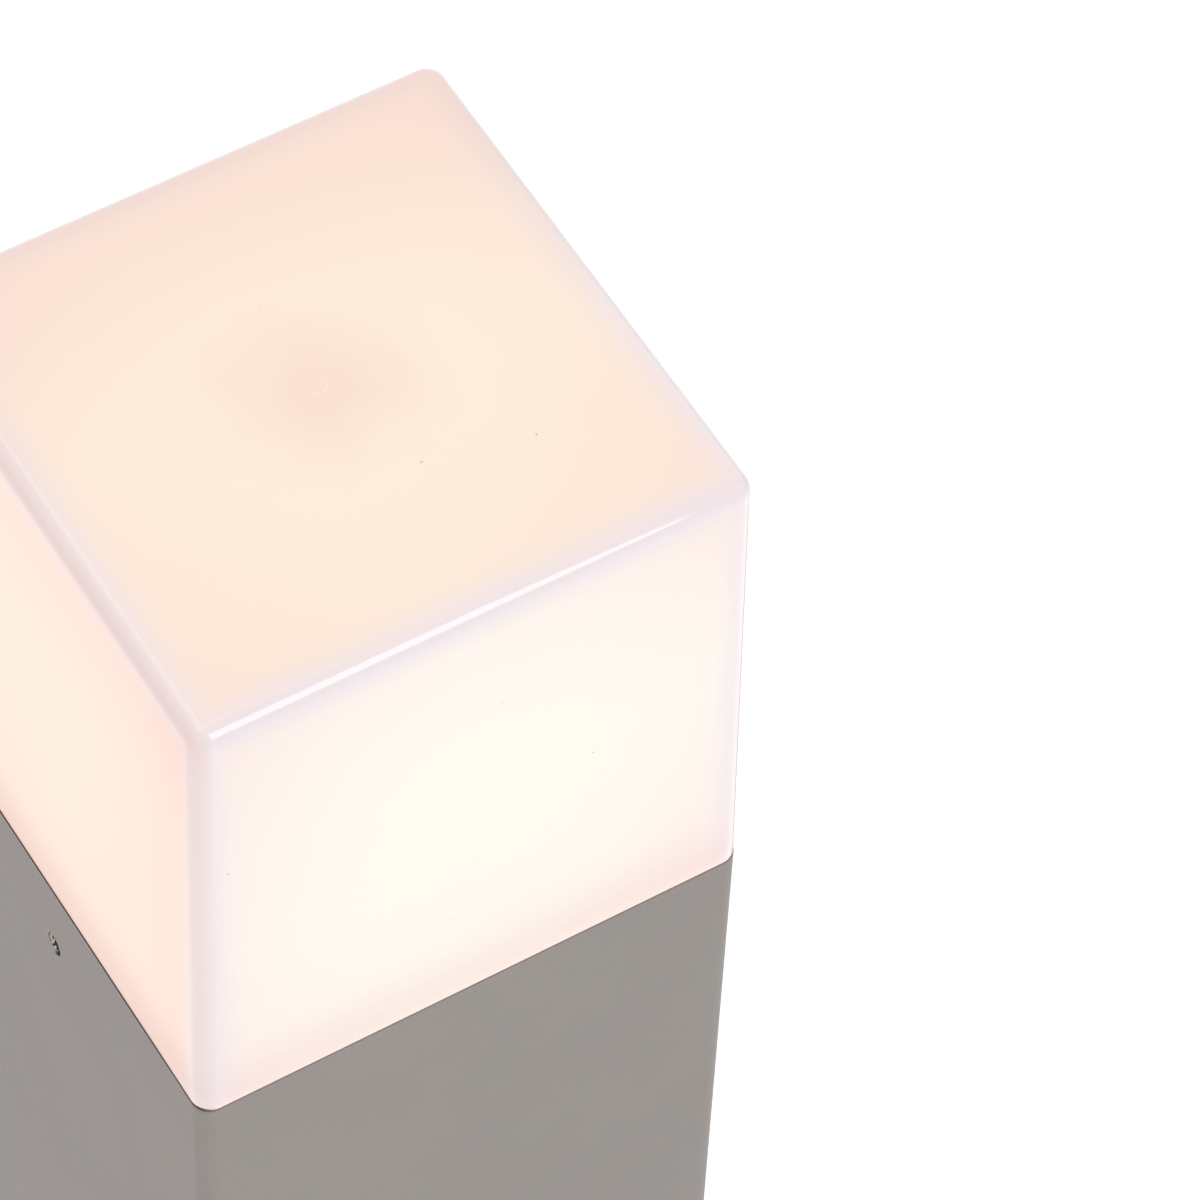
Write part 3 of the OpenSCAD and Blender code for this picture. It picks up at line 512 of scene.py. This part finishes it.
def opal_shade():
    """The shade as one skin: out from the middle of the hollow's top, down the inside of the wall
    and the neck, up the outside, over the round top edge and in to the gate mark."""
    # in millimetres
    gate_height, draft = 0.3, 1.5
    post_wall, neck_play, neck_wall = 2.0, 0.4, 3.0
    corner, edge, wall, rim = 3.3, 3.1, 3.0, 0.15
    groove_depth, groove_width, above_screw = 1.2, 4.0, 2.0

    j, low, foot = JOINT / MM, NECK_LOW / MM, FOOT / MM
    top = TOP / MM - gate_height
    head = foot - draft
    neck = HALF / MM - post_wall - neck_play
    neck_in = neck - neck_wall

    def lean(z):
        return foot - (foot - head) * (z - j) / (top - edge - j)

    rings = []
    # hollow
    inner_edge, inner_corner = 0.6, 1.0
    inner_top = top - wall
    for f in (0.02, 0.1, 0.3, 0.55, 0.8):
        h = f * (head - wall)
        rings.append(square_ring(h, min(0.6, h * 0.5), inner_top))
    for k in range(0, 5):
        a = math.radians(90 - 22.5 * k)
        back_off = inner_edge * (1 - math.cos(a))
        rings.append(square_ring(head - wall - back_off, inner_corner - back_off,
                                 inner_top - inner_edge + inner_edge * math.sin(a)))
    for t in (0.25, 0.5, 0.75, 1.0):
        z = (inner_top - inner_edge) + t * (j + wall - inner_top + inner_edge)
        rings.append(square_ring(lean(z) - wall, inner_corner, z))
    # neck
    rings.append(square_ring(neck_in, 1.0, j + wall))
    rings.append(square_ring(neck_in, 1.0, j + wall - 0.3))
    rings.append(square_ring(neck_in, 1.0, low + 0.3))
    rings.append(square_ring(neck_in + 0.3, 1.2, low))
    rings.append(square_ring(neck - 0.4, 1.0, low))
    rings.append(square_ring(neck - 0.12, 1.0, low + 0.12))
    rings.append(square_ring(neck, 1.0, low + 0.4))
    rings.append(square_ring(neck, 1.0, j - 0.25))
    rings.append(square_ring(neck + 0.25, 1.1, j))
    # foot of the cube
    rings.append(square_ring(foot - 0.3, corner - 0.3, j))
    for k in range(0, 4):
        a = math.radians(30 * k)
        rings.append(square_ring(foot - rim * (1 - math.sin(a)), corner - rim * (1 - math.sin(a)),
                                 j + rim * (1 - math.cos(a))))
    for t in (0.04, 0.25, 0.5, 0.75, 1.0):
        z = j + rim + t * (top - edge - j - rim)
        rings.append(square_ring(lean(z), corner, z))
    # round top edge
    for k in range(1, 13):
        a = math.radians(7.5 * k)
        back_off = edge * (1 - math.cos(a))
        rings.append(square_ring(head - back_off, corner - back_off, top - edge + edge * math.sin(a)))
    for f in (0.85, 0.6, 0.35, 0.15, 0.075):
        h = f * (head - edge)
        rings.append(square_ring(h, max(1.0, h * 0.55) if f > 0.08 else h, top))
    # gate mark: a low nub in a shallow ring
    for r, z in ((2.4, 0.0), (2.0, -0.06), (1.7, -0.1), (1.4, -0.06), (1.2, 0.06), (1.12, 0.2),
                 (0.95, 0.28), (0.6, gate_height), (0.3, 0.26), (0.12, 0.24)):
        rings.append(square_ring(r, r, top + z))
    mesh = loft("opal_shade", rings)
    obj = bpy.data.objects.new("opal_shade_cut", mesh)
    bpy.context.collection.objects.link(obj)

    # the open-ended grooves that the clamp screws press in
    groove_height = SCREW_Z / MM + above_screw - low
    cutter_mesh = bpy.data.meshes.new("groove_cutter")
    bm = bmesh.new()
    for side in (-1, 1):
        made = bmesh.ops.create_cube(bm, size=1)
        size = Vector((2 * groove_depth, groove_width, 2 * groove_height)) * MM
        bmesh.ops.scale(bm, vec=size, verts=made["verts"])
        bmesh.ops.translate(bm, vec=(side * neck * MM, 0, low * MM), verts=made["verts"])
    bm.to_mesh(cutter_mesh)
    bm.free()
    cutter = bpy.data.objects.new("groove_cutter", cutter_mesh)
    bpy.context.collection.objects.link(cutter)
    cut = obj.modifiers.new("grooves", "BOOLEAN")
    cut.object = cutter
    cut.operation = "DIFFERENCE"
    cut.solver = "EXACT"
    graph = bpy.context.evaluated_depsgraph_get()
    result = bpy.data.meshes.new_from_object(obj.evaluated_get(graph))
    result.name = "opal_shade_skin"
    bpy.data.objects.remove(obj)
    bpy.data.objects.remove(cutter)
    result.materials.clear()
    return new_object("opal_shade_skin", result, "opal_shade", "shade", smooth=25)


shade = opal_shade()
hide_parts("shade")


# Floor: white to the camera, soft shadow kept
def white_where_seen(name, color, lift):
    m = Nodes(name)
    path = m.add("ShaderNodeLightPath")
    bounced = m.math("ADD", path.outputs["Is Glossy Ray"], path.outputs["Is Transmission Ray"])
    seen = m.math("ADD", path.outputs["Is Camera Ray"], bounced, clamp=True)
    m.set(Base_Color=color, Roughness=0.9)
    m.bsdf.inputs["Specular IOR Level"].default_value = 0.1
    m.set(Emission_Color=(1.0, 1.0, 1.0))
    m.link(m.math("MULTIPLY", seen, lift), m.bsdf.inputs["Emission Strength"])
    return m.mat


FLOOR_HALF = 6
floor_mesh = bpy.data.meshes.new("floor")
floor_mesh.from_pydata([(-FLOOR_HALF, -FLOOR_HALF, 0), (FLOOR_HALF, -FLOOR_HALF, 0),
                        (FLOOR_HALF, FLOOR_HALF, 0), (-FLOOR_HALF, FLOOR_HALF, 0)], [], [(0, 1, 2, 3)])
floor = bpy.data.objects.new("floor", floor_mesh)
floor_mesh.materials.append(white_where_seen("floor", (0.86, 0.86, 0.86), 0.45))
bpy.context.collection.objects.link(floor)


# World: a plain light level for the room, and white where it is seen
ROOM_LEVEL, SEEN_LEVEL = 0.55, 1.0
world = bpy.data.worlds.new("world")
bpy.context.scene.world = world
world.use_nodes = True
tree = world.node_tree
tree.nodes.clear()
out = tree.nodes.new("ShaderNodeOutputWorld")
background = tree.nodes.new("ShaderNodeBackground")
path = tree.nodes.new("ShaderNodeLightPath")
seen = path.outputs["Is Camera Ray"]
for ray in ("Is Glossy Ray", "Is Transmission Ray"):
    either = tree.nodes.new("ShaderNodeMath")
    either.operation = "MAXIMUM"
    tree.links.new(seen, either.inputs[0])
    tree.links.new(path.outputs[ray], either.inputs[1])
    seen = either.outputs[0]
level = tree.nodes.new("ShaderNodeMapRange")
tree.links.new(seen, level.inputs["Value"])
level.inputs["To Min"].default_value = ROOM_LEVEL
level.inputs["To Max"].default_value = SEEN_LEVEL
background.inputs["Color"].default_value = (1, 1, 1, 1)
tree.links.new(level.outputs[0], background.inputs["Strength"])
tree.links.new(background.outputs[0], out.inputs[0])


# Lamps
def softbox(name, place, target, width, height, power, color=(1, 1, 1)):
    """A rectangular lamp that faces its target: sizes in metres, power in watts."""
    data = bpy.data.lights.new(name, "AREA")
    data.color = color
    data.shape = "RECTANGLE"
    data.size = width
    data.size_y = height
    data.energy = power
    obj = bpy.data.objects.new(name, data)
    bpy.context.collection.objects.link(obj)
    place, target = Vector(place), Vector(target)
    turn = (target - place).to_track_quat("-Z", "Y").to_matrix().to_4x4()
    obj.matrix_world = Matrix.Translation(place) @ turn
    return obj


middle = Vector((0, 0, JOINT))
# the strip makes the bright line on the shade's front top edge, so it aims at the top
softbox("edge_strip", middle + Vector((0.34, -1.37, 0.88)), middle + Vector((0, 0, 0.1)),
        width=0.45, height=0.95, power=5.6)
softbox("left_box", middle + Vector((-1.5, -0.9, 0.6)), middle,
        width=1.0, height=1.0, power=2.9, color=(1.0, 0.62, 0.66))
softbox("right_box", middle + Vector((1.5, -1.2, 0.8)), middle, width=1.0, height=1.0, power=1.4)
softbox("top_box", middle + Vector((-0.3, 0.3, 1.5)), middle, width=1.2, height=1.2, power=4)
back_box = softbox("back_box", middle + Vector((0.6, 1.7, 0.9)), middle,
                   width=1.2, height=1.2, power=8)
back_box.visible_glossy = False

bpy.context.scene.view_settings.view_transform = "Standard"
